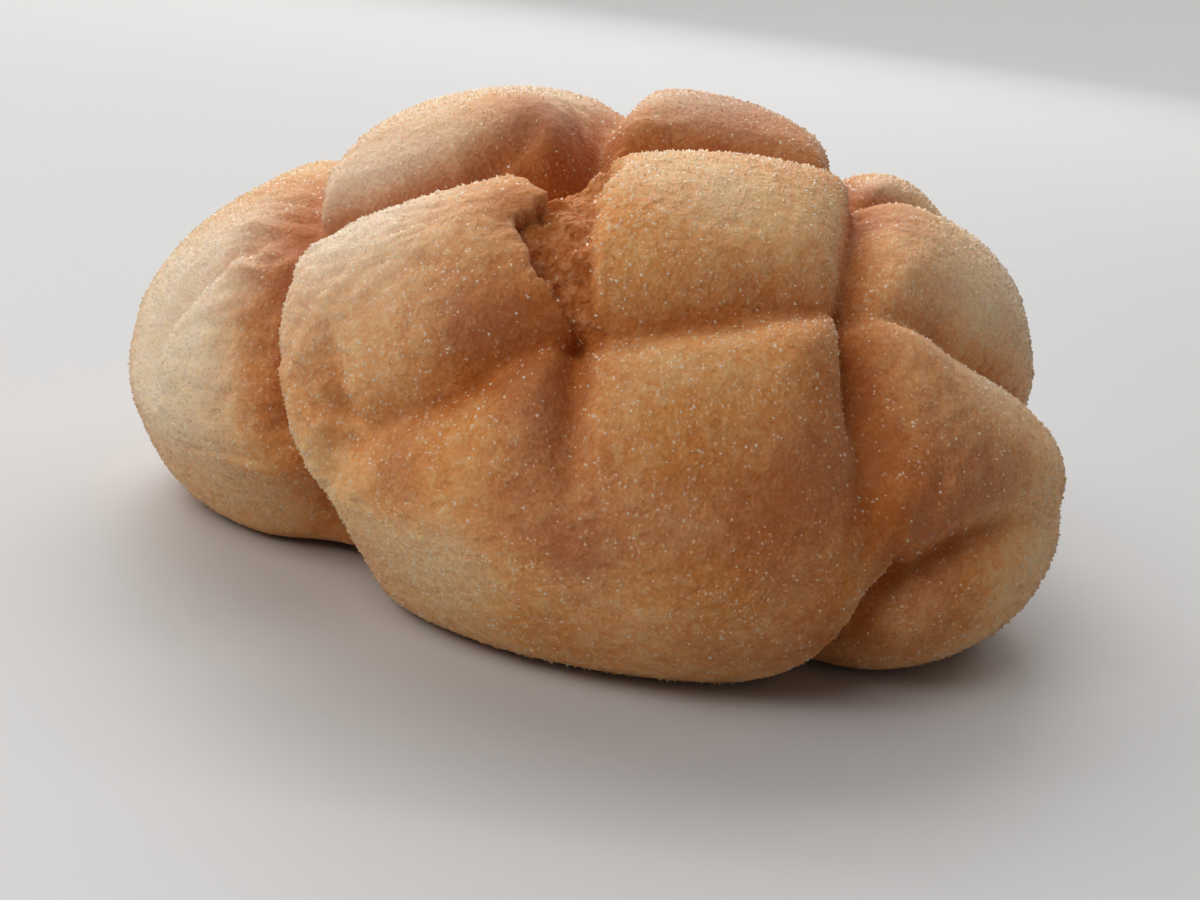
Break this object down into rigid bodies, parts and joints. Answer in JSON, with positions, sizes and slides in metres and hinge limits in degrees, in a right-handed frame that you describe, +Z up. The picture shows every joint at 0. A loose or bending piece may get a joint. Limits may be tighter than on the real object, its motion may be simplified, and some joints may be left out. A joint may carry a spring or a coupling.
{
  "type": "melon pan",
  "caption": "Round melon pan bun with a puffed, grid-scored cookie crust, torn open along one line, browned in the cuts and dusted with sugar.",
  "frame": {"origin": "on the table, under the middle of the bun's box", "axes": "+Z up, -Y towards the front that the picture shows, +X to the right as seen from the front"},
  "size_m": [0.113, 0.1114, 0.0566],
  "materials": {
    "crust": "dry baked cookie crust, matte, with grains of sugar"
  },
  "bodies": {
    "root": {"melon_pan": "crust"}
  },
  "joints": []
}
